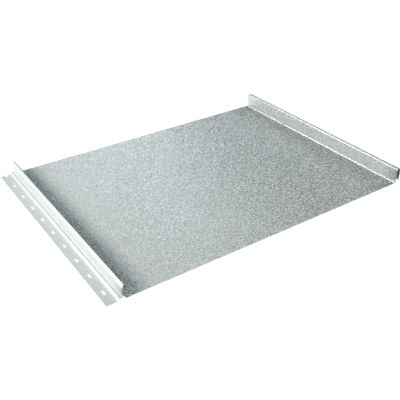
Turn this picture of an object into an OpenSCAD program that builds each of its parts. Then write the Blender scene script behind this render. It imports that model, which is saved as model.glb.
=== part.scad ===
// Standing seam roof panel, a sample length roll-formed from one coated steel sheet.
// It lies flat with its face up: the nailing flange and the male rib run along its left side
// (-X), and the female cap of the seam runs along its right side (+X).
// X is the width, Y runs along the seams, and Z is up from the underside of the sheet.

/* [Sheet] */
// Thickness of the coated sheet
sheet_t = 0.5; // [0.4:0.05:0.7]
// Length of the panel along its seams
panel_l = 387; // [120:1:3000]
// Width that one laid panel covers, from seam to seam
cover_w = 500; // [250:5:600]
// Inner radius of the plain folds
fold_r = 1.2; // [0.8:0.1:1.4]

/* [Nailing flange] */
// Width of the flat flange outside the step
flange_w = 17; // [14:0.5:30]
// Length of a nailing slot, along the seam
slot_l = 9.5; // [7:0.5:16]
// Width of a nailing slot
slot_w = 3.2; // [3:0.1:6]
// Distance from one slot's centre to the next
slot_pitch = 40; // [25:1:80]
// Distance of the first slot's centre from the near end
slot_start = 25; // [10:1:40]
// Distance of the slots' centre line from the flange's outer edge
slot_edge = 8.6; // [6:0.1:10]

/* [Step beside the rib] */
// Overall height of the step, which keeps the next panel clear of the screw heads
step_h = 3.8; // [3:0.1:5]
// Run of the slope that rises to the step
step_run = 1.8; // [1.6:0.1:4]
// Width of the step's flat top, from its slope to the middle of the rib's outer wall
step_top_w = 4.4; // [4:0.1:10]

/* [Male rib] */
// Overall height of the male rib
rib_h = 22; // [18:0.5:30]
// Gap between the two walls of the rib
rib_gap = 0.3; // [0.1:0.05:0.6]
// Overall width of the rib, from its outer wall to the tip of the barb
rib_w = 5.5; // [5:0.1:6.5]
// Height of the barb, from where the outer wall leans over up to the crest
barb_h = 4.5; // [4:0.1:5]
// Steepness of the leaning stretch, from level
lean_a = 65; // [60:1:75]
// Fall of the barb's upper face, from level
barb_fall_a = 48; // [44:1:52]
// Rise of the barb's lower face from the wall to the tip, from level
barb_under_a = 20; // [10:1:24]
// Bend radius of the rib's crest, on the middle of the sheet
crest_r = 1.25; // [1:0.05:1.4]
// Bend radius of the barb's tip, on the middle of the sheet
barb_r = 0.45; // [0.4:0.05:0.6]
// Height at which the rib's inner wall starts to flare out to the pan
flare_z = 7.2; // [6:0.2:9]
// Run of the flare from the rib's inner wall to the pan
flare_run = 4; // [3:0.25:6]

/* [Female cap] */
// Inner radius of the fold from the pan up into the wall under the cap
wall_foot_r = 1.6; // [1.2:0.1:3]
// Fall of the cap's top from the pan's wall to the outer leg, from level
cap_fall_a = 6; // [0:1:10]
// Bend radius of the cap's shoulder over the wall, on the middle of the sheet
shoulder_r = 2.2; // [1:0.1:2.4]
// Height of the outer leg's hem over the underside of the pan
hem_z = 4.5; // [4:0.25:6]
// Gap in the hem between the outer leg and the tongue folded up inside it
hem_gap = 0.3; // [0.2:0.05:0.5]
// Lean of the tongue, from the hem to its free edge
tongue_lean = 0.3; // [0:0.05:0.4]

/* [Fit of the seam] */
// Gap between the female wall and the rib of the panel laid before it
wall_clearance = 0.1; // [0.05:0.05:0.5]
// Reach of the barb past the inner face of the tongue, once it has snapped in
snap_catch = 0.5; // [0.2:0.05:0.6]
// Play between the tongue's free edge and the barb over it
lock_play = 1.5; // [0.5:0.1:2]
// Headroom under the cap over the rib's crest, once the next panel lies on the step
cap_headroom = 6.8; // [2:0.1:10]

/* [Hidden] */
arc_step = 12;
half_t = sheet_t / 2;
fold_mid_r = fold_r + half_t;
cut_margin = 1;

// Male side, on the middle of the sheet, from the flange's outer edge
rib_outer_x = flange_w + step_run + step_top_w;
rib_inner_x = rib_outer_x + sheet_t + rib_gap;
pan_left_x = rib_inner_x + flare_run;
lean_z = rib_h - barb_h;
crest_z = ridge_corner_z(rib_h, crest_r, lean_a, barb_fall_a);
crest_x = rib_outer_x + (crest_z - lean_z) / tan(lean_a);
barb_tip_x = rib_outer_x - half_t + rib_w;
barb_half_a = (180 - barb_fall_a - barb_under_a) / 2;
barb_bisector_a = (barb_fall_a - barb_under_a) / 2;
barb_x = barb_tip_x - half_t - barb_r + barb_r * cos(barb_bisector_a) / cos(barb_half_a);
barb_z = crest_z - (barb_x - crest_x) * tan(barb_fall_a);
barb_root_z = barb_z - (barb_x - rib_inner_x) * tan(barb_under_a);

// Female side, on the middle of the sheet
wall_x = cover_w - wall_clearance - sheet_t + rib_outer_x;
tongue_x = wall_x + half_t + wall_clearance + rib_w - snap_catch + half_t;
hem_x = tongue_x + tongue_lean;
leg_x = hem_x + sheet_t + hem_gap;
hem_r = 0.45 * (sheet_t + hem_gap);
cap_h = rib_h + cap_headroom + sheet_t - step_h;
cap_z = ridge_corner_z(cap_h, shoulder_r, 90, cap_fall_a);
leg_top_z = cap_z - (leg_x - wall_x) * tan(cap_fall_a);
barb_over_tongue_z = barb_z - (barb_x - barb_tip_x + snap_catch) * tan(barb_under_a)
    - half_t / cos(barb_under_a);
tongue_top_z = barb_over_tongue_z - lock_play - step_h;
panel_w = leg_x + half_t;

// The folded section: each corner of the middle line is [x, z, bend radius]
SECTION = [
    [0, half_t, 0],
    [flange_w, half_t, fold_mid_r],
    [flange_w + step_run, step_h - half_t, fold_mid_r],
    [rib_outer_x, step_h - half_t, fold_mid_r],
    [rib_outer_x, lean_z, fold_mid_r],
    [crest_x, crest_z, crest_r],
    [barb_x, barb_z, barb_r],
    [rib_inner_x, barb_root_z, fold_mid_r],
    [rib_inner_x, flare_z, fold_mid_r],
    [pan_left_x, half_t, fold_mid_r],
    [wall_x, half_t, wall_foot_r + half_t],
    [wall_x, cap_z, shoulder_r],
    [leg_x, leg_top_z, fold_mid_r],
    [leg_x, hem_z + half_t, hem_r],
    [hem_x, hem_z + half_t, hem_r],
    [tongue_x, tongue_top_z, 0]
];

// Height of a ridge's corner, so that its bend tops out at an overall height
function ridge_corner_z(height, radius, rise_a, fall_a) =
    height - half_t - radius + radius * cos((rise_a - fall_a) / 2) / cos((rise_a + fall_a) / 2);

function corner_xz(corner) = [corner[0], corner[1]];
function unit(v) = v / norm(v);
function left_of(v) = [-v[1], v[0]];
function turn_by(v, a) = [v[0] * cos(a) - v[1] * sin(a), v[0] * sin(a) + v[1] * cos(a)];

// Points of one bend, at a distance to the left of the middle line
function bend(before, corner, after, side) =
    let (
        u = unit(corner_xz(corner) - corner_xz(before)),
        v = unit(corner_xz(after) - corner_xz(corner)),
        angle = atan2(u[0] * v[1] - u[1] * v[0], u * v),
        hand = sign(angle),
        steps = ceil(abs(angle) / arc_step),
        start = corner_xz(corner) - u * corner[2] * tan(abs(angle) / 2),
        centre = start + left_of(u) * hand * corner[2],
        spoke = -left_of(u) * hand * (corner[2] - side * hand)
    )
    [for (i = [0:steps]) centre + turn_by(spoke, angle * i / steps)];

// One face of the sheet, from the flange's edge to the tongue's edge
function sheet_face(line, side) =
    let (
        last = len(line) - 1,
        first_dir = unit(corner_xz(line[1]) - corner_xz(line[0])),
        last_dir = unit(corner_xz(line[last]) - corner_xz(line[last - 1]))
    )
    concat(
        [corner_xz(line[0]) + left_of(first_dir) * side],
        [for (i = [1:last - 1]) each bend(line[i - 1], line[i], line[i + 1], side)],
        [corner_xz(line[last]) + left_of(last_dir) * side]
    );

function reversed(list) = [for (i = [len(list) - 1:-1:0]) list[i]];

// The sheet's section as a closed outline of even thickness
module folded_section() {
    polygon(concat(sheet_face(SECTION, half_t), reversed(sheet_face(SECTION, -half_t))));
}

// A slot with round ends, cut through the flange
module nailing_slot() {
    end_y = (slot_l - slot_w) / 2;
    for (y = [-end_y, end_y])
        translate([0, y, -cut_margin])
            cylinder(d = slot_w, h = sheet_t + 2 * cut_margin, $fn = 48);
    translate([-slot_w / 2, -end_y, -cut_margin])
        cube([slot_w, 2 * end_y, sheet_t + 2 * cut_margin]);
}

// The row of slots: one that the far cut passes through stays open there
module slot_row() {
    for (y = [slot_start:slot_pitch:panel_l + slot_l / 2 - cut_margin])
        translate([slot_edge, y, 0])
            nailing_slot();
}

module roof_panel() {
    color([0.76, 0.79, 0.79])
    translate([-panel_w / 2, -panel_l / 2, 0])
    difference() {
        translate([0, panel_l, 0])
            rotate([90, 0, 0])
                linear_extrude(panel_l)
                    folded_section();
        slot_row();
    }
}

roof_panel();
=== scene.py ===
"""Standing seam roof panel: a short sample of roll-formed, zinc-coated sheet in a white studio.

Every length is in metres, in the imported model's own frame: X runs across the panel, Y along its
seams, and Z up from the underside of the sheet.
"""

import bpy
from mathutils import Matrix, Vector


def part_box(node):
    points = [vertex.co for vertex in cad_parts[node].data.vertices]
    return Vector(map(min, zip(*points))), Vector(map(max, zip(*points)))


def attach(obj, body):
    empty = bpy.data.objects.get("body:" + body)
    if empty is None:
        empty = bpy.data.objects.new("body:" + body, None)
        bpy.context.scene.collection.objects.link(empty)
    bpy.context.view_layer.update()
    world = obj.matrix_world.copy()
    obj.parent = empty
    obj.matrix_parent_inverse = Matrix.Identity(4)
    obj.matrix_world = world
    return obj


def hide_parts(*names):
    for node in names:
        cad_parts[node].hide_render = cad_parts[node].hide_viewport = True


bl_info = {
    "name": "Standing Seam Roof Panel",
    "version": (1, 0, 0),
    "blender": (4, 5, 0),
    "location": "3D View > Sidebar > Roof Panel",
    "description": "Roll-forms a standing seam roof panel from zinc-coated sheet and lights it",
    "category": "Add Mesh",
}

from math import atan2, ceil, copysign, cos, pi, radians, sin, tan

import bmesh
import bpy
from mathutils import Matrix, Vector

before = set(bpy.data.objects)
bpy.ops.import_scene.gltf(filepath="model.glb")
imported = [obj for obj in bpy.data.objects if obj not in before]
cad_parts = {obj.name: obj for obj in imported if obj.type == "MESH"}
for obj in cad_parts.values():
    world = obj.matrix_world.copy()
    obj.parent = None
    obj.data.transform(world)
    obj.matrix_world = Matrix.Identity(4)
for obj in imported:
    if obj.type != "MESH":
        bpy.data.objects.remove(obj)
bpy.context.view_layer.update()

MM = 0.001
SHEET_NODE = "roof_panel"
PIECE_NAME = "formed_sheet"
PANEL_LOW, PANEL_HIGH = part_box(SHEET_NODE)
PANEL_WIDTH = PANEL_HIGH.x - PANEL_LOW.x
PANEL_LENGTH = PANEL_HIGH.y - PANEL_LOW.y
PANEL_HEIGHT = PANEL_HIGH.z - PANEL_LOW.z
# How near a vertex must be to a place to count as lying on it
ON_PLACE = 0.002 * MM


def size_prop(name, description, millimetres):
    """A length of the sheet, set in millimetres and kept in metres."""
    return bpy.props.FloatProperty(
        name=name, description=description, default=millimetres * MM,
        min=0.0, precision=5, unit="LENGTH",
    )


def angle_prop(name, description, degrees):
    """An angle, set in degrees and kept in radians."""
    return bpy.props.FloatProperty(
        name=name, description=description, default=radians(degrees), subtype="ANGLE",
    )


def share_prop(name, description, share):
    """A share from none (0) to all (1)."""
    return bpy.props.FloatProperty(
        name=name, description=description, default=share, min=0.0, max=1.0,
    )


def colour_prop(name, description, colour):
    """A colour of the coating."""
    return bpy.props.FloatVectorProperty(
        name=name, description=description, subtype="COLOR",
        size=3, min=0.0, max=1.0, default=colour,
    )


class RoofSheetSizes(bpy.types.PropertyGroup):
    """Sizes of the folded sheet, all on its real section"""

    sheet_t: size_prop("Sheet", "Thickness of the coated sheet", 0.5)
    fold_r: size_prop("Fold radius", "Inner radius of the plain folds", 1.2)
    flange_w: size_prop("Flange", "Width of the flat flange outside the step", 17.0)
    slot_l: size_prop("Slot length", "Length of a nailing slot along the seam", 9.5)
    slot_w: size_prop("Slot width", "Width of a nailing slot", 3.2)
    slot_pitch: size_prop("Slot pitch", "Distance between the slots' centres", 40.0)
    slot_start: size_prop("Slot start", "First slot's centre from the near end", 25.0)
    slot_edge: size_prop("Slot edge", "Slots' centre line from the flange's edge", 8.6)
    step_h: size_prop("Step height", "Overall height of the step beside the rib", 3.8)
    step_run: size_prop("Step run", "Run of the slope that rises to the step", 1.8)
    step_top_w: size_prop("Step top", "Width of the step's flat top", 4.4)
    rib_h: size_prop("Rib height", "Overall height of the male rib", 22.0)
    rib_gap: size_prop("Rib gap", "Gap between the rib's two walls", 0.3)
    rib_w: size_prop("Rib width", "Width of the rib over its barb", 5.5)
    barb_h: size_prop("Barb height", "Height of the barb under the crest", 4.5)
    lean_a: angle_prop("Lean", "Steepness of the wall's leaning stretch", 65.0)
    barb_fall_a: angle_prop("Barb fall", "Fall of the barb's upper face", 48.0)
    barb_under_a: angle_prop("Barb under", "Rise of the barb's lower face", 20.0)
    crest_r: size_prop("Crest radius", "Bend radius of the rib's crest", 1.25)
    barb_r: size_prop("Barb radius", "Bend radius of the barb's tip", 0.45)
    flare_z: size_prop("Flare height", "Height where the inner wall flares out", 7.2)
    flare_run: size_prop("Flare run", "Run of the flare down to the pan", 4.0)
    wall_foot_r: size_prop("Wall foot", "Inner radius of the fold from the pan to the wall", 1.6)
    cap_fall_a: angle_prop("Cap fall", "Fall of the female cap's top", 6.0)
    shoulder_r: size_prop("Shoulder radius", "Bend radius of the cap's shoulder", 2.2)
    hem_z: size_prop("Hem height", "Height of the hem over the sheet's underside", 4.5)
    hem_gap: size_prop("Hem gap", "Gap in the hem of the outer leg", 0.3)
    tongue_lean: size_prop("Tongue lean", "Lean of the tongue inside the cap", 0.3)
    snap_catch: size_prop("Snap catch", "Reach of the barb past the tongue", 0.5)
    wall_clearance: size_prop("Clearance", "Gap between a rib and the wall over it", 0.1)
    lock_play: size_prop("Lock play", "Play between the tongue and the barb", 1.5)
    wave_h: size_prop("Pan wave", "Height of the pan's shallow waves", 0.25)
    wave_l: size_prop("Wave length", "Length of the pan's shallow waves", 110.0)
    edge_r: size_prop("Cut edge", "Rounding of the sheared and punched edges", 0.06)


class RoofFinish(bpy.types.PropertyGroup):
    """Colours and grain of the zinc coating"""

    zinc: colour_prop("Zinc", "Colour of the coating", (0.645, 0.7, 0.7))
    spangle: size_prop("Spangle", "Width of one of the fine zinc crystals", 1.1)
    fine_low: share_prop("Fine contrast, low", "Contrast of the fine crystals on the seams", 0.06)
    fine_high: share_prop("Fine contrast, high", "Contrast of the fine crystals at the cap", 0.35)
    coarse_spangle: size_prop("Coarse spangle", "Width of one of the coarse crystals", 1.3)
    coarse_high: share_prop("Coarse contrast", "Contrast of the coarse crystals at the cap", 0.56)
    tilt_low: share_prop("Tilt, low", "Reach of the crystals' tilt on the seams", 0.02)
    tilt_high: share_prop("Tilt, high", "Reach of the crystals' tilt at the cap", 0.36)
    metallic: share_prop("Metallic", "How metallic the coating is", 0.4)
    rough_low: share_prop("Roughness, low", "Roughness of the glossiest crystals", 0.22)
    rough_high: share_prop("Roughness, high", "Roughness of the dullest crystals", 0.4)
    # The burnished folds' pale colour is partly burnish and partly a painted highlight
    burnished: colour_prop("Burnished", "Colour of the burnished folds", (0.95, 0.97, 0.97))
    burnished_metallic: share_prop("Burnished metallic", "How metallic those folds are", 0.75)
    # The creases take painted shade, and turn rough and matt with it
    shaded_rough: share_prop("Shaded roughness", "Roughness of the shaded creases", 0.7)


class RoofStudio(bpy.types.PropertyGroup):
    """The studio's camera"""

    lens: bpy.props.FloatProperty(
        name="Lens", description="Focal length, in millimetres", default=54.893, min=1.0,
    )
    camera_place: bpy.props.FloatVectorProperty(
        name="Camera", description="Where the camera stands", subtype="TRANSLATION",
        size=3, default=(-0.4846, -0.72439, 0.5035),
    )
    camera_turn: angle_prop("Turn", "Camera's turn from +Y towards +X", 34.062)
    camera_pitch: angle_prop("Pitch", "Camera's look down from level", 31.935)
    camera_roll: angle_prop("Roll", "Camera's roll about its own axis", -0.368)


# The folded section

# Bend radius of the hem, as a share of the pitch from the leg to the tongue
HEM_ROUNDING = 0.45


def section_corners(s):
    """The corners of the sheet's middle line in their order, each as its x, z and bend radius."""
    half_t = s.sheet_t / 2
    fold = s.fold_r + half_t
    rib_outer = s.flange_w + s.step_run + s.step_top_w
    rib_inner = rib_outer + s.sheet_t + s.rib_gap
    lean_z = s.rib_h - s.barb_h

    def ridge_z(height, radius, rise, fall):
        return height - half_t - radius + radius * cos((rise - fall) / 2) / cos((rise + fall) / 2)

    crest_z = ridge_z(s.rib_h, s.crest_r, s.lean_a, s.barb_fall_a)
    crest_x = rib_outer + (crest_z - lean_z) / tan(s.lean_a)
    barb_tip = rib_outer - half_t + s.rib_w
    barb_half = (radians(180) - s.barb_fall_a - s.barb_under_a) / 2
    barb_bisector = (s.barb_fall_a - s.barb_under_a) / 2
    barb_x = barb_tip - half_t - s.barb_r + s.barb_r * cos(barb_bisector) / cos(barb_half)
    barb_z = crest_z - (barb_x - crest_x) * tan(s.barb_fall_a)
    barb_root_z = barb_z - (barb_x - rib_inner) * tan(s.barb_under_a)

    cap_pitch = s.sheet_t + s.hem_gap
    leg = PANEL_WIDTH - half_t
    hem = leg - cap_pitch
    tongue = hem - s.tongue_lean
    wall = tongue - s.sheet_t - s.wall_clearance - s.rib_w + s.snap_catch
    cap_z = ridge_z(PANEL_HEIGHT, s.shoulder_r, radians(90), s.cap_fall_a)
    leg_top_z = cap_z - (leg - wall) * tan(s.cap_fall_a)
    over_tongue_z = barb_z - (barb_x - barb_tip + s.snap_catch) * tan(s.barb_under_a)
    tongue_top_z = over_tongue_z - half_t / cos(s.barb_under_a) - s.lock_play - s.step_h
    hem_r = HEM_ROUNDING * cap_pitch

    corners = {
        "flange_edge": (0.0, half_t, 0.0),
        "slope_foot": (s.flange_w, half_t, fold),
        "step_left": (s.flange_w + s.step_run, s.step_h - half_t, fold),
        "rib_foot": (rib_outer, s.step_h - half_t, fold),
        "lean_foot": (rib_outer, lean_z, fold),
        "crest": (crest_x, crest_z, s.crest_r),
        "barb": (barb_x, barb_z, s.barb_r),
        "barb_root": (rib_inner, barb_root_z, fold),
        "flare_top": (rib_inner, s.flare_z, fold),
        "pan_left": (rib_inner + s.flare_run, half_t, fold),
        "wall_foot": (wall, half_t, s.wall_foot_r + half_t),
        "shoulder": (wall, cap_z, s.shoulder_r),
        "leg_top": (leg, leg_top_z, fold),
        "hem_outer": (leg, s.hem_z + half_t, hem_r),
        "hem_inner": (hem, s.hem_z + half_t, hem_r),
        "tongue_edge": (tongue, tongue_top_z, 0.0),
    }
    return {name: (PANEL_LOW.x + x, PANEL_LOW.z + z, r) for name, (x, z, r) in corners.items()}


def fold_at(before, corner, after):
    """Start, centre and signed turn of a corner's fold; a left turn, towards +Z, is positive."""
    here = Vector(corner[:2])
    u = (here - Vector(before[:2])).normalized()
    v = (Vector(after[:2]) - here).normalized()
    turn = atan2(u.x * v.y - u.y * v.x, u.dot(v))
    start = here - u * corner[2] * tan(abs(turn) / 2)
    centre = start + Vector((-u.y, u.x)) * copysign(corner[2], turn)
    return start, centre, turn


# Selecting and editing

def select_only(obj):
    """Selects one object, in object mode, and makes it the active one."""
    bpy.ops.object.select_all(action="DESELECT")
    bpy.context.view_layer.objects.active = obj
    obj.select_set(True)


def enter_edit(obj, mode):
    """Opens one piece in edit mode, with nothing selected, to select vertices, edges or faces."""
    select_only(obj)
    bpy.ops.object.mode_set(mode="EDIT")
    bpy.ops.mesh.select_mode(type=mode)
    bpy.ops.mesh.select_all(action="DESELECT")


def leave_edit():
    """Goes back to object mode."""
    bpy.ops.object.mode_set(mode="OBJECT")


def select_edges(obj, wanted):
    """Selects the edges that pass a test, in edit mode, and returns how many there are."""
    bpy.ops.mesh.select_all(action="DESELECT")
    mesh = bmesh.from_edit_mesh(obj.data)
    chosen = [e for e in mesh.edges if wanted(e)]
    for edge in chosen:
        edge.select_set(True)
    bmesh.update_edit_mesh(obj.data)
    return len(chosen)


def select_vertices(obj, wanted):
    """Selects the vertices that pass a test, in edit mode."""
    bpy.ops.mesh.select_all(action="DESELECT")
    mesh = bmesh.from_edit_mesh(obj.data)
    for vertex in mesh.verts:
        vertex.select_set(wanted(vertex.co))
    mesh.select_flush(True)
    bmesh.update_edit_mesh(obj.data)


def runs_along_y(edge):
    """True for an edge that runs along the seams."""
    a, b = edge.verts
    return abs(a.co.x - b.co.x) < ON_PLACE and abs(a.co.z - b.co.z) < ON_PLACE


def apply_modifier(obj, kind, name, **settings):
    """Adds a modifier to a piece, sets it and applies it."""
    select_only(obj)
    modifier = obj.modifiers.new(name, kind)
    for key, value in settings.items():
        setattr(modifier, key, value)
    bpy.ops.object.modifier_apply(modifier=name)


# Forming the sheet

# How finely the sheet is divided: by turn in its folds, along the seams, and across the pan
FOLD_STEP = radians(6)
ROWS_ALONG = 48
COLUMNS_IN_PAN = 60
# How near two vertices must be to be merged
MERGE_REACH = 0.0005 * MM
# Width over which the pan's waves die out beside the seams
WAVE_FADE = 30 * MM
# Sides of the round punch, and its length in thicknesses of the sheet
PUNCH_SIDES = 50
PUNCH_LENGTH = 8
# The least length that the far end must leave of a slot for it to be punched
LEAST_SLOT = MM
# Edges that turn more than the first angle are rounded, and under the second they are smooth
CUT_ANGLE = radians(50)
SMOOTH_ANGLE = radians(30)
EDGE_SEGMENTS = 2


def cut_flange_strip(line):
    """A flat strip as wide as the nailing flange, on the sheet's middle level."""
    start, _, _ = fold_at(*line[:3])
    left, level, _ = line[0]
    width = start.x - left
    bpy.ops.mesh.primitive_plane_add(size=1.0, location=(left + width / 2, 0.0, level))
    strip = bpy.context.active_object
    strip.name = PIECE_NAME
    strip.data.name = PIECE_NAME
    strip.scale = (width, PANEL_LENGTH, 1.0)
    bpy.ops.object.transform_apply(location=True, rotation=True, scale=True)
    return strip


def roll_form(sheet, line):
    """Draws the strip's leading edge through every fold of the section, leg by leg."""
    enter_edit(sheet, "EDGE")
    lead = Vector(fold_at(*line[:3])[0])

    def leads(edge):
        place = Vector((edge.verts[0].co.x, edge.verts[0].co.z))
        return runs_along_y(edge) and (place - lead).length < ON_PLACE

    def take_lead():
        found = select_edges(sheet, leads)
        if found != 1:
            raise RuntimeError(f"the leading edge isn't one edge at {tuple(lead)}: {found}")

    def draw_to(end):
        bpy.ops.mesh.extrude_region_move(
            TRANSFORM_OT_translate={"value": (end.x - lead.x, 0.0, end.y - lead.y)},
        )

    for before, corner, after in zip(line, line[1:], line[2:]):
        start, centre, turn = fold_at(before, corner, after)
        if (start - lead).length > ON_PLACE:
            take_lead()
            draw_to(start)
            lead = start
        take_lead()
        bpy.ops.mesh.spin(
            steps=ceil(abs(turn) / FOLD_STEP), angle=turn,
            center=(centre.x, 0.0, centre.y), axis=(0.0, 1.0, 0.0),
        )
        spoke = lead - centre
        lead = centre + Vector((
            spoke.x * cos(turn) - spoke.y * sin(turn),
            spoke.x * sin(turn) + spoke.y * cos(turn),
        ))
    take_lead()
    draw_to(Vector(line[-1][:2]))
    bpy.ops.mesh.select_all(action="SELECT")
    bpy.ops.mesh.remove_doubles(threshold=MERGE_REACH)
    bpy.ops.mesh.normals_make_consistent(inside=False)
    leave_edit()


def divide_sheet(sheet, pan_left, pan_right):
    """Divides the sheet along the seams, and its pan across too, so that it can take its waves."""
    enter_edit(sheet, "EDGE")
    select_edges(sheet, runs_along_y)
    bpy.ops.mesh.subdivide(number_cuts=ROWS_ALONG - 1)
    half_pan = (pan_right - pan_left) / 2
    select_edges(sheet, lambda e: abs(e.verts[0].co.x - e.verts[1].co.x) > half_pan)
    bpy.ops.mesh.subdivide(number_cuts=COLUMNS_IN_PAN - 1)
    leave_edit()


def wave_pan(sheet, s, pan_left, pan_right):
    """Lifts the pan in very shallow waves, as thin sheet never lies quite flat."""
    level = PANEL_LOW.z + s.sheet_t / 2
    group = sheet.vertex_groups.new(name="pan")
    for vertex in sheet.data.vertices:
        x = vertex.co.x
        if abs(vertex.co.z - level) < ON_PLACE and pan_left < x < pan_right:
            weight = min(1.0, (x - pan_left) / WAVE_FADE, (pan_right - x) / WAVE_FADE)
            eased = weight * weight * (3 - 2 * weight)
            group.add([vertex.index], eased, "REPLACE")
    waves = bpy.data.textures.new("pan_waves", "CLOUDS")
    waves.noise_scale = s.wave_l
    waves.noise_depth = 1
    apply_modifier(
        sheet, "DISPLACE", "Waves", texture=waves, texture_coords="LOCAL", direction="Z",
        mid_level=0.0, strength=s.wave_h, vertex_group="pan",
    )
    bpy.data.textures.remove(waves)
    sheet.vertex_groups.clear()


def slot_punch(s):
    """A punch with a slot's outline: a round bar with its halves drawn apart along the seam."""
    middle = PANEL_LOW.y + s.slot_start
    bpy.ops.mesh.primitive_cylinder_add(
        vertices=PUNCH_SIDES, radius=s.slot_w / 2, depth=PUNCH_LENGTH * s.sheet_t,
        location=(PANEL_LOW.x + s.slot_edge, middle, s.sheet_t / 2),
    )
    punch = bpy.context.active_object
    bpy.ops.object.transform_apply(location=True, rotation=True, scale=True)
    reach = (s.slot_l - s.slot_w) / 2
    enter_edit(punch, "VERT")
    for side in (-1, 1):
        select_vertices(punch, lambda co, side=side: (co.y - middle) * side > 0)
        bpy.ops.transform.translate(value=(0.0, side * reach, 0.0))
    leave_edit()
    return punch


def punch_slots(sheet, s):
    """Punches the row of slots; the last one is cut open by the far end."""
    first = slot_punch(s)
    copies = []
    y = s.slot_start + s.slot_pitch
    while y < PANEL_LENGTH + s.slot_l / 2 - LEAST_SLOT:
        copy = first.copy()
        copy.data = first.data.copy()
        copy.data.transform(Matrix.Translation((0.0, y - s.slot_start, 0.0)))
        bpy.context.collection.objects.link(copy)
        copies.append(copy)
        y += s.slot_pitch
    select_only(first)
    for copy in copies:
        copy.select_set(True)
    bpy.ops.object.join()
    apply_modifier(sheet, "BOOLEAN", "Slots", operation="DIFFERENCE", solver="EXACT", object=first)
    bpy.data.objects.remove(first)


def round_edges(sheet, s):
    """Rounds the cut edges a little, then shades the folds smooth and the flats flat."""
    apply_modifier(
        sheet, "BEVEL", "Cut edges", width=s.edge_r, segments=EDGE_SEGMENTS,
        limit_method="ANGLE", angle_limit=CUT_ANGLE,
    )
    select_only(sheet)
    bpy.ops.object.shade_smooth_by_angle(angle=SMOOTH_ANGLE)
    apply_modifier(sheet, "WEIGHTED_NORMAL", "Flat faces", keep_sharp=True)


class ROOFPANEL_OT_form_sheet(bpy.types.Operator):
    """Roll-form the panel from one sheet, punch its slots and give it its zinc finish"""

    bl_idname = "roof_panel.form_sheet"
    bl_label = "Form Sheet"
    bl_options = {"REGISTER", "UNDO"}

    def execute(self, context):
        s = context.scene.roof_sheet
        corners = section_corners(s)
        line = list(corners.values())
        pan_left, pan_right = corners["pan_left"][0], corners["wall_foot"][0]
        sheet = cut_flange_strip(line)
        roll_form(sheet, line)
        divide_sheet(sheet, pan_left, pan_right)
        wave_pan(sheet, s, pan_left, pan_right)
        apply_modifier(
            sheet, "SOLIDIFY", "Thickness", thickness=s.sheet_t, offset=0.0,
            use_even_offset=True, use_quality_normals=True,
        )
        punch_slots(sheet, s)
        round_edges(sheet, s)
        sheet.data.materials.clear()
        sheet.data.materials.append(zinc_material(context.scene.roof_finish, s, corners))
        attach(sheet, "root")
        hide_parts(SHEET_NODE)
        return {"FINISHED"}


# Shader nodes

FLOAT, VECTOR = "NodeSocketFloat", "NodeSocketVector"


def node_of(tree, kind, **inputs):
    """A shader node with some of its inputs set by name."""
    node = tree.nodes.new(kind)
    for name, value in inputs.items():
        node.inputs[name].default_value = value
    return node


def feed(tree, socket, value):
    """Links a socket to another node's, or sets it to a plain value."""
    if isinstance(value, bpy.types.NodeSocket):
        tree.links.new(value, socket)
    else:
        socket.default_value = value


def maths(tree, operation, a, b=None):
    """A math node's result; each operand is a number or another node's socket."""
    node = tree.nodes.new("ShaderNodeMath")
    node.operation = operation
    feed(tree, node.inputs[0], a)
    if b is not None:
        feed(tree, node.inputs[1], b)
    return node.outputs["Value"]


def lessened(tree, value, mask):
    """A value lessened by a mask: whole where the mask is 0, and none where it is 1."""
    return maths(tree, "MULTIPLY", value, maths(tree, "SUBTRACT", 1.0, mask))


def vector_maths(tree, operation, a, b=None, scale=None):
    """A vector math node's result; each operand is a vector or another node's socket."""
    node = tree.nodes.new("ShaderNodeVectorMath")
    node.operation = operation
    feed(tree, node.inputs[0], a)
    if b is not None:
        feed(tree, node.inputs[1], b)
    if scale is not None:
        feed(tree, node.inputs["Scale"], scale)
    return node.outputs["Vector"]


def ranged(tree, value, start, span, to):
    """A value over a span, counted from a start, mapped to a range and clamped to it."""
    node = tree.nodes.new("ShaderNodeMapRange")
    feed(tree, node.inputs["Value"], value)
    node.inputs["From Min"].default_value = start + span[0]
    node.inputs["From Max"].default_value = start + span[1]
    node.inputs["To Min"].default_value = to[0]
    node.inputs["To Max"].default_value = to[1]
    return node.outputs["Result"]


def mixed(tree, factor, a, b, kind="FLOAT"):
    """Two floats or colours mixed by a factor; each operand is a value or a node's socket."""
    node = tree.nodes.new("ShaderNodeMix")
    node.data_type = kind
    suffix = {"FLOAT": "Float", "RGBA": "Color"}[kind]
    inputs = {socket.identifier: socket for socket in node.inputs}
    outputs = {socket.identifier: socket for socket in node.outputs}
    feed(tree, inputs["Factor_Float"], factor)
    feed(tree, inputs[f"A_{suffix}"], a)
    feed(tree, inputs[f"B_{suffix}"], b)
    return outputs[f"Result_{suffix}"]


def mixed_shader(tree, factor, first, second):
    """Two shaders mixed by a factor."""
    node = tree.nodes.new("ShaderNodeMixShader")
    tree.links.new(factor, node.inputs["Fac"])
    tree.links.new(first, node.inputs[1])
    tree.links.new(second, node.inputs[2])
    return node.outputs["Shader"]


def effect_group(name, inputs, outputs):
    """An empty shader group with named float and vector sockets."""
    group = bpy.data.node_groups.new(name, "ShaderNodeTree")
    for label, kind in inputs:
        group.interface.new_socket(label, in_out="INPUT", socket_type=kind)
    for label, kind in outputs:
        group.interface.new_socket(label, in_out="OUTPUT", socket_type=kind)
    return group, group.nodes.new("NodeGroupInput"), group.nodes.new("NodeGroupOutput")


def effect_at(tree, group, place):
    """A node of an effect group, fed with a place."""
    node = tree.nodes.new("ShaderNodeGroup")
    node.node_tree = group
    tree.links.new(place, node.inputs["Place"])
    return node


# Finish

# From none to all, and from all to none
RISE, FALL = (0.0, 1.0), (1.0, 0.0)

# A crystal's chance values over which it turns from dark to pale, and the tones of both
PALE_CHANCE = (0.5, 0.8)
CRYSTAL_TONES = (-0.7, 1.4)
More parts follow.
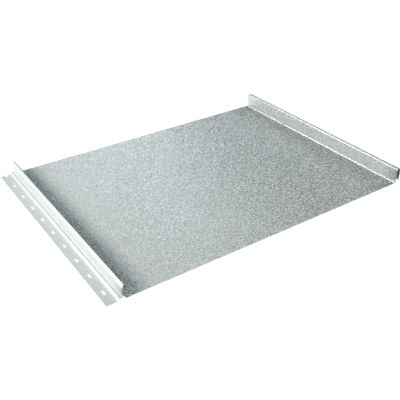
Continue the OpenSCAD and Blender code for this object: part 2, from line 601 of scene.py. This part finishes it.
# The middle of the chance values, where a crystal doesn't tilt
NO_TILT = (0.5, 0.5, 0.5)
# Shift of the coarse crystals, so that they don't line up with the fine ones at the middle
COARSE_SHIFT = (0.37, 0.21, 0.13)
# Contrast and tilt of the crystals on the burnished folds, which also carry a painted highlight
BURNISHED_CONTRAST = 0.03
BURNISHED_TILT = 0.05

# How grainy the zinc is at the pan's left, beside the rib, and on the wall; 1 is the pan's right
PAN_GRAIN = 0.36
RIB_GRAIN = 0.85
SEAM_GRAIN = 0.56
# Painted shade: how much darker the seams are made towards the near end
END_SHADE = 0.48
# Painted shadow of the rib on the pan beside it: how much darker it is made, and the share of it
# at the near end
RIB_SHADOW = 0.33
NEAR_SHARE = 0.5
# Painted shade on the pan beside the wall: how much darker it is made, and the share of it at the
# wall's foot
WALL_SHADE = 0.36
FOOT_SHARE = 0.7
# Painted light: the flange, its step's slope and the cap with its wall are made paler than the pan
# by these shares of the pan's tone, as if the lamps lit them more
FLANGE_LIGHT = 1.07
SLOPE_LIGHT = 1.2
WALL_LIGHT = 1.13

# Heights over which the low sheet's mask ends, and the seams' and the barb's masks begin
LOW_HEIGHTS = (1.5 * MM, 3 * MM)
SEAM_HEIGHTS = (3 * MM, 6 * MM)
BARB_HEIGHTS = (15 * MM, 18 * MM)
# Distances from the pan's left, for its grain, and for the grain and the painted shadow beside the
# rib
GRAIN_SPREAD = (40 * MM, 360 * MM)
RIB_GRAIN_FADE = (12 * MM, 38 * MM)
RIB_SHADOW_FADE = (14 * MM, 42 * MM)
# Distances from the wall's face, for the painted shade beside it and for its share at the foot
WALL_SHADE_RISE = (-55 * MM, -12 * MM)
FOOT_FADE = (-8 * MM, -4 * MM)
# Distances from the near end, for the painted shade on the seams' ends and for the share of the
# painted shadow beside the rib
END_FADE = (0.0, 34 * MM)
NEAR_FADE = (0.0, 110 * MM)
# Distances from a cut end over which its pale edge begins, partly the bare steel and partly
# painted light
BARE_AND_LIT_EDGE = (-0.1 * MM, -0.05 * MM)
# Spans up to a line, onwards from it, and across it
UP_TO, ONWARDS, ACROSS = (-MM, 0.0), (0.0, MM), (-MM, MM)

# How far each burnished fold with its painted highlight, or each line of painted shade, reaches
# past its fold or its line, and how strong it is
FOOT_BURNISH_AND_HIGHLIGHT = (0.4 * MM, 1.0)
SHOULDER_BURNISH_AND_HIGHLIGHT = (0.2 * MM, 0.8)
STEP_SHADE = (1.6 * MM, 0.3)
RIB_BAND_SHADE = (3.0 * MM, 0.07)
BARB_SHADE = (2.3 * MM, 0.6)
# How far left of the step's middle its painted shade lies, and how high the painted shade on the
# rib's wall lies
STEP_SHADE_SHIFT = 0.6 * MM
RIB_SHADE_HEIGHT = 8.0 * MM
# Strengths of the painted shade over which the coating turns matt
MATT_SHADE = (0.0, 0.1)
# Shares of a line's reach over which its mask fades
LINE_FADE = (0.6, 1.0)
# Keeps only what lies across the seams of a distance
ACROSS_SEAMS = (1.0, 0.0, 1.0)


def spangle_group():
    """Zinc crystals: each one is pale or dark, has its own gloss, and tilts its own way."""
    group, given, put = effect_group(
        "zinc_spangle",
        (("Place", VECTOR), ("Crystals per metre", FLOAT), ("Contrast", FLOAT), ("Tilt", FLOAT)),
        (("Tone", FLOAT), ("Gloss", FLOAT), ("Normal", VECTOR)),
    )
    link = group.links.new
    cells = group.nodes.new("ShaderNodeTexVoronoi")
    link(given.outputs["Place"], cells.inputs["Vector"])
    link(given.outputs["Crystals per metre"], cells.inputs["Scale"])
    chances = group.nodes.new("ShaderNodeSeparateColor")
    link(cells.outputs["Color"], chances.inputs["Color"])
    kind = ranged(group, chances.outputs["Red"], 0.0, PALE_CHANCE, CRYSTAL_TONES)
    shade = maths(group, "MULTIPLY", kind, given.outputs["Contrast"])
    link(maths(group, "ADD", shade, 1.0), put.inputs["Tone"])
    link(chances.outputs["Green"], put.inputs["Gloss"])
    lean = vector_maths(group, "SUBTRACT", cells.outputs["Color"], NO_TILT)
    lean = vector_maths(group, "SCALE", lean, scale=given.outputs["Tilt"])
    surface = group.nodes.new("ShaderNodeNewGeometry")
    tilted = vector_maths(group, "ADD", surface.outputs["Normal"], lean)
    link(vector_maths(group, "NORMALIZE", tilted), put.inputs["Normal"])
    return group


def shading_and_grain_group(corners, wall_face):
    """Where the grain is plain, the painted light and shade that make the zinc paler or darker in
    places, and the cut edges, which are bare and also painted pale as light.
    """
    group, given, put = effect_group(
        "shading_and_grain_masks",
        (("Place", VECTOR),),
        (("Grain", FLOAT), ("Tone", FLOAT), ("Cut", FLOAT)),
    )
    link = group.links.new
    axes = group.nodes.new("ShaderNodeSeparateXYZ")
    link(given.outputs["Place"], axes.inputs["Vector"])
    x, y, z = (axes.outputs[name] for name in "XYZ")
    slope_foot = corners["slope_foot"][0]
    step_left = corners["step_left"][0]
    pan_left = corners["pan_left"][0]

    low = ranged(group, z, 0.0, LOW_HEIGHTS, FALL)
    on_pan = maths(group, "MULTIPLY", low, ranged(group, x, pan_left, UP_TO, RISE))
    spread = ranged(group, x, pan_left, GRAIN_SPREAD, (PAN_GRAIN, 1.0))
    by_rib = ranged(group, x, pan_left, RIB_GRAIN_FADE, (RIB_GRAIN, 0.0))
    pan_grain = maths(group, "MAXIMUM", spread, by_rib)
    seam_grain = ranged(group, x, 0.0, (0.0, PANEL_HIGH.x), (0.0, SEAM_GRAIN))
    link(mixed(group, on_pan, seam_grain, pan_grain), put.inputs["Grain"])

    # Painted shade: the seams darken towards the near end, all but the barb
    end = ranged(group, y, PANEL_LOW.y, END_FADE, FALL)
    on_seam = ranged(group, z, 0.0, SEAM_HEIGHTS, (0.0, END_SHADE))
    seam_end_shade = maths(group, "MULTIPLY", maths(group, "MULTIPLY", end, end), on_seam)
    barb = ranged(group, z, 0.0, BARB_HEIGHTS, RISE)
    barb = maths(group, "MULTIPLY", barb, ranged(group, x, 0.0, ACROSS, FALL))
    seam_end_shade = lessened(group, seam_end_shade, barb)

    # Painted shadow of the rib on the pan, narrower at the near end
    beside_rib = ranged(group, x, pan_left, RIB_SHADOW_FADE, (RIB_SHADOW, 0.0))
    inwards = ranged(group, y, PANEL_LOW.y, NEAR_FADE, (NEAR_SHARE, 1.0))
    beside_rib = maths(group, "MULTIPLY", beside_rib, inwards)
    # Painted shade on the pan towards the wall, less of it at the foot
    beside_wall = ranged(group, x, wall_face, WALL_SHADE_RISE, (0.0, WALL_SHADE))
    at_foot = ranged(group, x, wall_face, FOOT_FADE, (1.0, FOOT_SHARE))
    beside_wall = maths(group, "MULTIPLY", beside_wall, at_foot)
    beside = maths(group, "MULTIPLY", maths(group, "ADD", beside_rib, beside_wall), on_pan)

    # Painted light: the flange, the slope and the cap with its wall are paler than the pan
    tone = ranged(group, x, slope_foot, ONWARDS, (FLANGE_LIGHT, SLOPE_LIGHT))
    past_slope = ranged(group, x, step_left, UP_TO, (1.0, 1 / SLOPE_LIGHT))
    at_wall = ranged(group, x, wall_face, UP_TO, (1.0, WALL_LIGHT))
    tone = maths(group, "MULTIPLY", maths(group, "MULTIPLY", tone, past_slope), at_wall)
    tone = lessened(group, lessened(group, tone, seam_end_shade), beside)
    link(tone, put.inputs["Tone"])

    # The cut ends turn pale: partly the bare steel, partly painted light
    cut = ranged(group, maths(group, "ABSOLUTE", y), PANEL_HIGH.y, BARE_AND_LIT_EDGE, RISE)
    link(maths(group, "MULTIPLY", cut, low), put.inputs["Cut"])
    return group


def line_group():
    """A mask of one line along the seams: full near the line, none from its reach on."""
    group, given, put = effect_group(
        "seam_line",
        (("Place", VECTOR), ("Line", VECTOR), ("Reach", FLOAT), ("Full", FLOAT)),
        (("Mask", FLOAT),),
    )
    apart = vector_maths(group, "SUBTRACT", given.outputs["Place"], given.outputs["Line"])
    apart = vector_maths(group, "MULTIPLY", apart, ACROSS_SEAMS)
    length = group.nodes.new("ShaderNodeVectorMath")
    length.operation = "LENGTH"
    group.links.new(apart, length.inputs[0])
    share = maths(group, "DIVIDE", length.outputs["Value"], given.outputs["Reach"])
    mask = ranged(group, share, 0.0, LINE_FADE, FALL)
    group.links.new(maths(group, "MULTIPLY", mask, given.outputs["Full"]), put.inputs["Mask"])
    return group


def highlight_and_shade_lines(s, corners, wall_face):
    """The burnished folds with their painted highlight, and the creases with painted shade, each
    as its place, its radius and its spread.
    """
    pan_face = PANEL_LOW.z + s.sheet_t
    rib_foot = corners["rib_foot"][0]
    step_middle = (corners["step_left"][0] + rib_foot) / 2
    crest, barb = corners["crest"], corners["barb"]
    # Two thirds of the way from the crest's corner to the barb's
    barb_x, barb_z = (crest[0] + 2 * barb[0]) / 3, (crest[1] + 2 * barb[1]) / 3
    folds = (
        ((wall_face, 0.0, pan_face), s.wall_foot_r, FOOT_BURNISH_AND_HIGHLIGHT),
        ((wall_face, 0.0, PANEL_HIGH.z), s.shoulder_r, SHOULDER_BURNISH_AND_HIGHLIGHT),
    )
    # Painted shade on the step's top, in a band on the rib's wall and on the barb's upper face
    creases = (
        ((step_middle - STEP_SHADE_SHIFT, 0.0, s.step_h), 0.0, STEP_SHADE),
        ((rib_foot, 0.0, RIB_SHADE_HEIGHT), 0.0, RIB_BAND_SHADE),
        ((barb_x, 0.0, barb_z), 0.0, BARB_SHADE),
    )
    return folds, creases


def lines_mask(tree, place, line_mask, lines, others):
    """The masks of several lines, and others, as one mask."""
    for middle, radius, (past, full) in lines:
        line = effect_at(tree, line_mask, place)
        line.inputs["Line"].default_value = middle
        line.inputs["Reach"].default_value = radius + past
        line.inputs["Full"].default_value = full
        others = maths(tree, "MAXIMUM", line.outputs["Mask"], others)
    return others


def zinc_material(finish, s, corners):
    """Fine-spangled zinc: pale and smooth along some folds, partly burnish and partly a painted
    highlight, with painted shade in some creases and painted light and shade across the sheet.
    """
    material = bpy.data.materials.new("zinc_coating")
    material.use_nodes = True
    tree = material.node_tree
    tree.nodes.clear()
    link = tree.links.new
    out = tree.nodes.new("ShaderNodeOutputMaterial")
    shader = tree.nodes.new("ShaderNodeBsdfPrincipled")
    link(shader.outputs["BSDF"], out.inputs["Surface"])
    place = tree.nodes.new("ShaderNodeTexCoord").outputs["Object"]

    wall_face = corners["wall_foot"][0] - s.sheet_t / 2
    shading_and_grain = effect_at(tree, shading_and_grain_group(corners, wall_face), place)
    grain = shading_and_grain.outputs["Grain"]
    line_mask = line_group()
    folds, creases = highlight_and_shade_lines(s, corners, wall_face)
    # Painted highlight: the folds and the cut ends turn pale, partly burnish and bare steel
    burnish_and_highlight = lines_mask(tree, place, line_mask, folds, shading_and_grain.outputs["Cut"])
    # Painted shade in the creases, which also turns them matt
    painted_shade = lines_mask(tree, place, line_mask, creases, 0.0)
    matt = ranged(tree, painted_shade, 0.0, MATT_SHADE, RISE)

    spangle = spangle_group()
    fine = effect_at(tree, spangle, place)
    coarse = effect_at(tree, spangle, vector_maths(tree, "ADD", place, COARSE_SHIFT))
    for layer, width, start, low, high in (
        (fine, finish.spangle, 0.0, finish.fine_low, finish.fine_high),
        (coarse, finish.coarse_spangle, PAN_GRAIN, 0.0, finish.coarse_high),
    ):
        layer.inputs["Crystals per metre"].default_value = 1.0 / width
        contrast = ranged(tree, grain, 0.0, (start, 1.0), (low, high))
        link(mixed(tree, burnish_and_highlight, contrast, BURNISHED_CONTRAST), layer.inputs["Contrast"])
    tilt = ranged(tree, grain, 0.0, RISE, (finish.tilt_low, finish.tilt_high))
    link(mixed(tree, burnish_and_highlight, tilt, BURNISHED_TILT), fine.inputs["Tilt"])
    link(fine.outputs["Normal"], shader.inputs["Normal"])

    tone = maths(tree, "MULTIPLY", fine.outputs["Tone"], coarse.outputs["Tone"])
    # The masks' tone paints light and shade across the sheet
    tone = maths(tree, "MULTIPLY", tone, shading_and_grain.outputs["Tone"])
    # Painted shade darkens the creases
    tone = lessened(tree, tone, painted_shade)
    toned = vector_maths(tree, "SCALE", tuple(finish.zinc), scale=tone)
    # Painted highlight: the folds and cut ends take the pale burnished colour
    colour = mixed(tree, burnish_and_highlight, toned, (*finish.burnished, 1.0), "RGBA")
    link(colour, shader.inputs["Base Color"])

    plain = (finish.rough_low + finish.rough_high) / 2
    gloss = fine.outputs["Gloss"]
    roughness = ranged(tree, gloss, 0.0, RISE, (finish.rough_low, finish.rough_high))
    roughness = mixed(tree, grain, plain, roughness)
    roughness = mixed(tree, matt, roughness, finish.shaded_rough)
    link(mixed(tree, burnish_and_highlight, roughness, finish.rough_low), shader.inputs["Roughness"])
    metallic = mixed(tree, matt, finish.metallic, 0.0)
    link(mixed(tree, burnish_and_highlight, metallic, finish.burnished_metallic), shader.inputs["Metallic"])
    return material


# Stage

WHITE = (1.0, 1.0, 1.0, 1.0)
WARM = (1.0, 0.92, 0.92)
COOL = (0.91, 1.0, 1.0)
# The nearest and the farthest that the camera sees
CAMERA_CLIP = (0.01, 100.0)
# Strength of the sky, where 1 is white
SKY_STRENGTH = 0.1
# Size of the floor, how far it lies under the sheet, and its colour in the lamps' light
FLOOR_SIZE = 30.0
FLOOR_DROP = 0.1 * MM
FLOOR_COLOUR = (0.8, 0.8, 0.8, 1.0)
# The colour that takes the shadow and the glow under it, where the floor is seen or mirrored
SHADE_COLOUR = (0.16, 0.18, 0.18, 1.0)
FLOOR_GLOW = 0.94
# Name, place, the point it faces, width and height, brightness, tint, and whether it is mirrored
SOFT_BOXES = (
    ("near_strip", (-0.62, 0.05, 0.30), (-0.10, 0.05, 0.0), (1.4, 0.20), 2.7, WARM, True),
    ("left_strip", (-1.40, 0.05, 0.90), (-0.10, 0.05, 0.0), (1.4, 0.60), 8.1, WARM, False),
    ("left_back", (-0.50, 1.61, 1.98), (0.0, 0.0, 0.0), (0.9, 1.0), 4.2, COOL, True),
    ("back_low", (-0.42, 2.37, 0.97), (0.0, 0.0, 0.0), (1.0, 1.0), 1.5, COOL, True),
    ("back_box", (1.02, 2.18, 0.97), (0.0, 0.0, 0.0), (1.0, 1.0), 1.38, COOL, True),
    ("right_back", (1.45, 1.45, 1.60), (0.0, 0.0, 0.0), (1.0, 1.0), 0.7, COOL, True),
    ("right_low", (2.18, 1.02, 0.97), (0.0, 0.0, 0.0), (1.0, 1.0), 0.45, COOL, True),
)


def soft_box(name, place, aim, size, brightness, tint, mirrored):
    """A plain soft box at a place, turned to a point; one of brightness 1 would look white.

    One that isn't mirrored lights the sheet without a glare on the pan seen from across it.
    """
    lamp = bpy.data.lights.new(name, "AREA")
    lamp.shape = "RECTANGLE"
    lamp.color = tint
    lamp.size, lamp.size_y = size
    lamp.energy = pi * size[0] * size[1] * brightness
    holder = bpy.data.objects.new(name, lamp)
    bpy.context.scene.collection.objects.link(holder)
    holder.location = place
    holder.rotation_euler = (Vector(aim) - Vector(place)).to_track_quat("-Z", "Y").to_euler()
    holder.visible_glossy = mirrored


def white_floor():
    """A large pale floor that shows nearly white and keeps a faint shadow."""
    bpy.ops.mesh.primitive_plane_add(size=FLOOR_SIZE, location=(0.0, 0.0, -FLOOR_DROP))
    floor = bpy.context.active_object
    floor.name = "floor"
    material = bpy.data.materials.new("white_floor")
    material.use_nodes = True
    tree = material.node_tree
    tree.nodes.clear()
    link = tree.links.new
    out = tree.nodes.new("ShaderNodeOutputMaterial")
    lit = node_of(tree, "ShaderNodeBsdfDiffuse", Color=FLOOR_COLOUR)
    shade = node_of(tree, "ShaderNodeBsdfDiffuse", Color=SHADE_COLOUR)
    glow = node_of(tree, "ShaderNodeEmission", Strength=FLOOR_GLOW)
    shown = tree.nodes.new("ShaderNodeAddShader")
    link(shade.outputs["BSDF"], shown.inputs[0])
    link(glow.outputs["Emission"], shown.inputs[1])
    rays = tree.nodes.new("ShaderNodeLightPath").outputs
    seen = maths(tree, "MAXIMUM", rays["Is Camera Ray"], rays["Is Glossy Ray"])
    surface = mixed_shader(tree, seen, lit.outputs["BSDF"], shown.outputs["Shader"])
    link(surface, out.inputs["Surface"])
    floor.data.materials.append(material)


def studio_sky(scene):
    """A faint cool sky, which the camera sees as plain white."""
    world = bpy.data.worlds.new("studio")
    scene.world = world
    world.use_nodes = True
    tree = world.node_tree
    tree.nodes.clear()
    out = tree.nodes.new("ShaderNodeOutputWorld")
    sky = node_of(tree, "ShaderNodeBackground", Color=(*COOL, 1.0), Strength=SKY_STRENGTH)
    white = node_of(tree, "ShaderNodeBackground", Color=WHITE, Strength=1.0)
    seen = tree.nodes.new("ShaderNodeLightPath").outputs["Is Camera Ray"]
    surface = mixed_shader(tree, seen, sky.outputs["Background"], white.outputs["Background"])
    tree.links.new(surface, out.inputs["Surface"])


def studio_camera(scene, studio):
    """The camera at the photograph's place."""
    optics = bpy.data.cameras.new("camera")
    optics.lens = studio.lens
    optics.clip_start, optics.clip_end = CAMERA_CLIP
    camera = bpy.data.objects.new("camera", optics)
    scene.collection.objects.link(camera)
    camera.matrix_world = (
        Matrix.Translation(studio.camera_place)
        @ Matrix.Rotation(-studio.camera_turn, 4, "Z")
        @ Matrix.Rotation(radians(90) - studio.camera_pitch, 4, "X")
        @ Matrix.Rotation(studio.camera_roll, 4, "Z")
    )
    scene.camera = camera


class ROOFPANEL_OT_set_stage(bpy.types.Operator):
    """Set the floor, the soft lamps, the sky and the camera"""

    bl_idname = "roof_panel.set_stage"
    bl_label = "Set Stage"
    bl_options = {"REGISTER", "UNDO"}

    def execute(self, context):
        white_floor()
        for box in SOFT_BOXES:
            soft_box(*box)
        studio_sky(context.scene)
        studio_camera(context.scene, context.scene.roof_studio)
        context.scene.view_settings.view_transform = "Standard"
        return {"FINISHED"}


class ROOFPANEL_PT_sidebar(bpy.types.Panel):
    """Sidebar panel that lists the sizes and the steps"""

    bl_idname = "ROOFPANEL_PT_sidebar"
    bl_label = "Roof Panel"
    bl_space_type = "VIEW_3D"
    bl_region_type = "UI"
    bl_category = "Roof Panel"

    def draw(self, context):
        scene = context.scene
        for group in (scene.roof_sheet, scene.roof_finish, scene.roof_studio):
            box = self.layout.box()
            for name in group.__annotations__:
                box.prop(group, name)
        for operator in OPERATORS:
            self.layout.operator(operator.bl_idname)


OPERATORS = (ROOFPANEL_OT_form_sheet, ROOFPANEL_OT_set_stage)
CLASSES = (RoofSheetSizes, RoofFinish, RoofStudio, *OPERATORS, ROOFPANEL_PT_sidebar)


def register():
    for cls in CLASSES:
        bpy.utils.register_class(cls)
    bpy.types.Scene.roof_sheet = bpy.props.PointerProperty(type=RoofSheetSizes)
    bpy.types.Scene.roof_finish = bpy.props.PointerProperty(type=RoofFinish)
    bpy.types.Scene.roof_studio = bpy.props.PointerProperty(type=RoofStudio)


def unregister():
    del bpy.types.Scene.roof_studio
    del bpy.types.Scene.roof_finish
    del bpy.types.Scene.roof_sheet
    for cls in reversed(CLASSES):
        bpy.utils.unregister_class(cls)


def main():
    register()
    bpy.ops.roof_panel.form_sheet()
    bpy.ops.roof_panel.set_stage()


if __name__ == "__main__":
    main()
